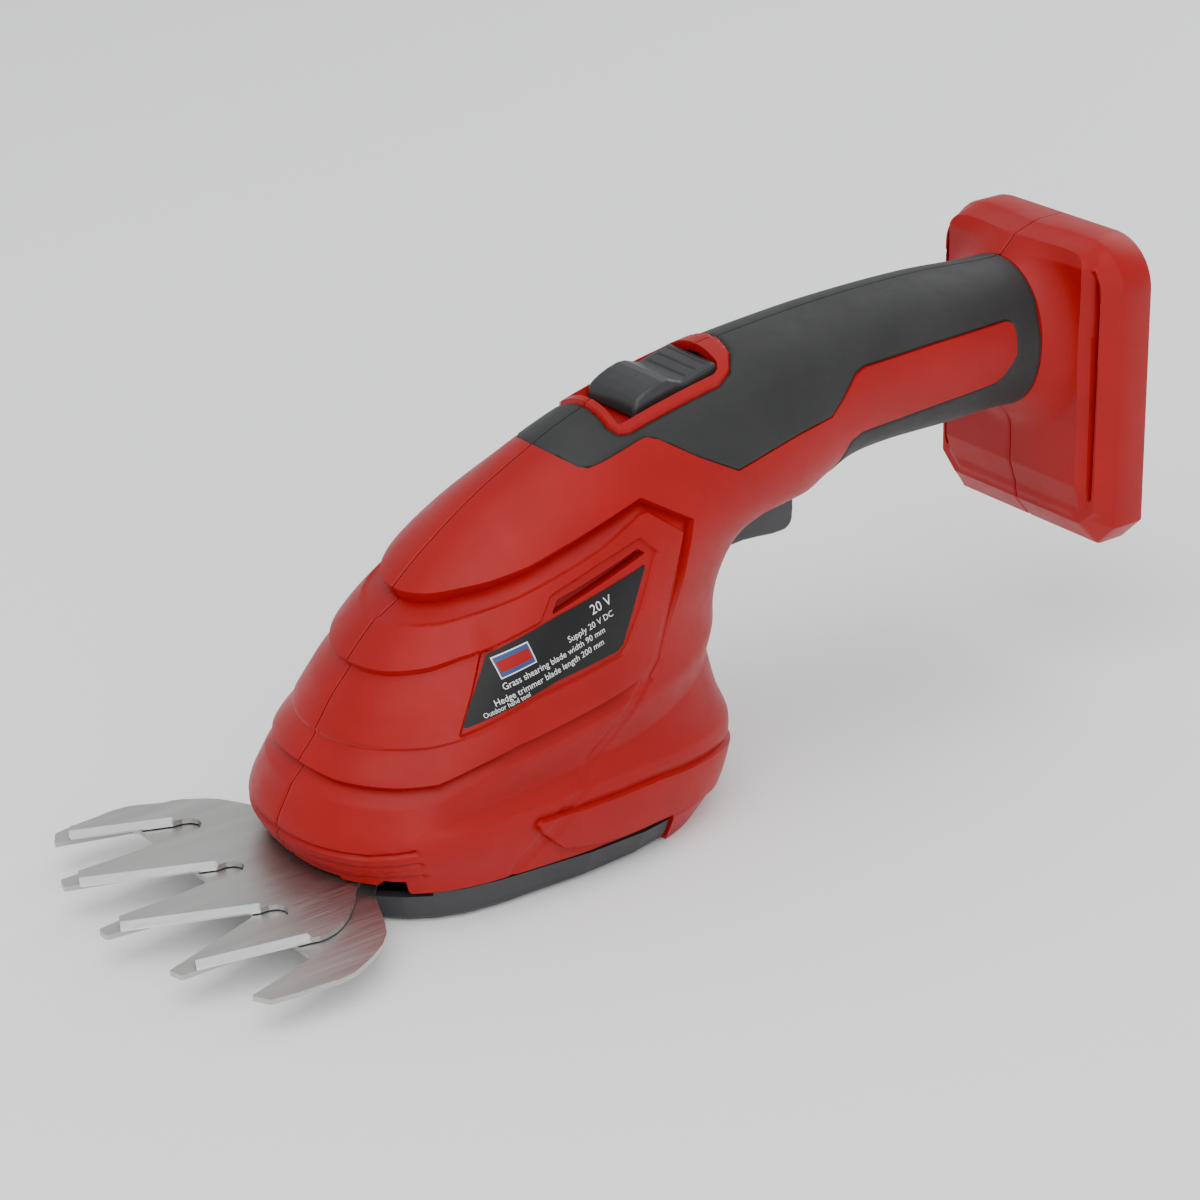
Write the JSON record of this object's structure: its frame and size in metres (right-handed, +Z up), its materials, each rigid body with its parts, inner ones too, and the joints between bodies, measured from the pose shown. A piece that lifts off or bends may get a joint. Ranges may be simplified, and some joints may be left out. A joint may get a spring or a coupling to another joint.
{
  "type": "cordless grass shears",
  "caption": "Cordless hand-held grass shears: toothed blades, one fixed and one swung by a geared motor, clamshell body, trigger, lock-off slide and battery foot.",
  "frame": {"origin": "on the blade pivot's axis, at the level of the sole", "axes": "-Y towards the blades' tips, +Y towards the battery foot, +Z up, +X the tool's left as the user holds it; X = 0 is the housing's parting plane"},
  "size_m": [0.0924, 0.2826, 0.1132],
  "materials": {
    "red_shell": "satin moulded",
    "soft_grip": "fine texture",
    "dark_plastic": "fine texture",
    "label_black": "printed film",
    "blade_steel": "rolled and ground",
    "bright_steel": "plain",
    "black_steel": "black oxide",
    "gear_nylon": "moulded",
    "brass": "plain",
    "switch_black": "moulded"
  },
  "bodies": {
    "housing": {"battery_rail_left": "bright_steel", "battery_rail_right": "bright_steel", "bearing_plate": "bright_steel", "blade_base": "black_steel", "cover_screw_1": "black_steel", "cover_screw_2": "black_steel", "cover_screw_3": "black_steel", "cover_screw_4": "black_steel", "drive_axle": "bright_steel", "gear_frame": "dark_plastic", "grip_left": "soft_grip", "grip_right": "soft_grip", "housing_left": "red_shell", "housing_right": "red_shell", "housing_screw_1": "black_steel", "housing_screw_2": "black_steel", "housing_screw_3": "black_steel", "housing_screw_4": "black_steel", "housing_screw_5": "black_steel", "housing_screw_6": "black_steel", "idler_axle": "bright_steel", "label_left": "label_black", "label_right": "label_black", "lock_guide": "dark_plastic", "lock_spring": "bright_steel", "lower_blade": "blade_steel", "motor_can": "bright_steel", "motor_end_cap": "dark_plastic", "motor_plate": "bright_steel", "motor_screw_1": "black_steel", "motor_screw_2": "black_steel", "pivot_bolt": "black_steel", "pivot_nut": "bright_steel", "pivot_washer": "bright_steel", "sole_cover": "dark_plastic", "switch_body": "switch_black", "switch_tab_1": "brass", "switch_tab_2": "brass", "switch_tab_3": "brass", "terminal_block": "dark_plastic", "terminal_negative": "brass", "terminal_positive": "brass", "terminal_signal": "brass", "trigger_pin": "bright_steel", "trigger_spring": "bright_steel"},
    "moving_blade": {"upper_blade": "blade_steel", "drive_fork": "bright_steel", "fork_rivet_1": "bright_steel", "fork_rivet_2": "bright_steel"},
    "drive_gear": {"drive_gear": "gear_nylon"},
    "idler_gear": {"idler_gear": "gear_nylon"},
    "rotor": {"motor_rotor": "black_steel", "motor_pinion": "brass"},
    "trigger": {"trigger": "dark_plastic"},
    "switch_plunger": {"switch_plunger": "brass"},
    "lock_slide": {"lock_slide": "dark_plastic"}
  },
  "joints": [
    {"name": "blade_swing", "type": "hinge", "parent": "housing", "child": "moving_blade", "pos_m": [0, 0, 0.008], "axis": [0, 0, 1], "range_deg": [-2.7, 14.1]},
    {"name": "rotor_spin", "type": "hinge", "parent": "housing", "child": "rotor", "pos_m": [0, 0.0296, 0.028], "axis": [0, 0, 1], "continuous": true},
    {"name": "idler_spin", "type": "hinge", "parent": "housing", "child": "idler_gear", "pos_m": [0, 0.048, 0.016], "axis": [0, 0, 1], "continuous": true},
    {"name": "drive_gear_spin", "type": "hinge", "parent": "housing", "child": "drive_gear", "pos_m": [0, 0.026, 0.016], "axis": [0, 0, 1], "continuous": true},
    {"name": "trigger_pull", "type": "hinge", "parent": "housing", "child": "trigger", "pos_m": [0, 0.0805, 0.07], "axis": [1, 0, 0], "range_deg": [0, 10], "stiffness_Nm_per_rad": 0.25, "springref_deg": -9.74, "deforming": ["trigger_spring"]},
    {"name": "plunger_push", "type": "slide", "parent": "housing", "child": "switch_plunger", "axis": [0, 0, 1], "range_m": [0, 0.0016]},
    {"name": "lock_off", "type": "slide", "parent": "housing", "child": "lock_slide", "axis": [0, -0.9766, -0.2149], "range_m": [0, 0.005], "stiffness_N_per_m": 200, "springref_m": -0.005, "deforming": ["lock_spring"]}
  ],
  "couplings": [
    {"joint": "idler_spin", "follows": "rotor_spin", "ratio": -0.27778},
    {"joint": "drive_gear_spin", "follows": "rotor_spin", "ratio": 0.10417},
    {"joint": "plunger_push", "follows": "trigger_pull", "m_per_rad": 0.009}
  ]
}
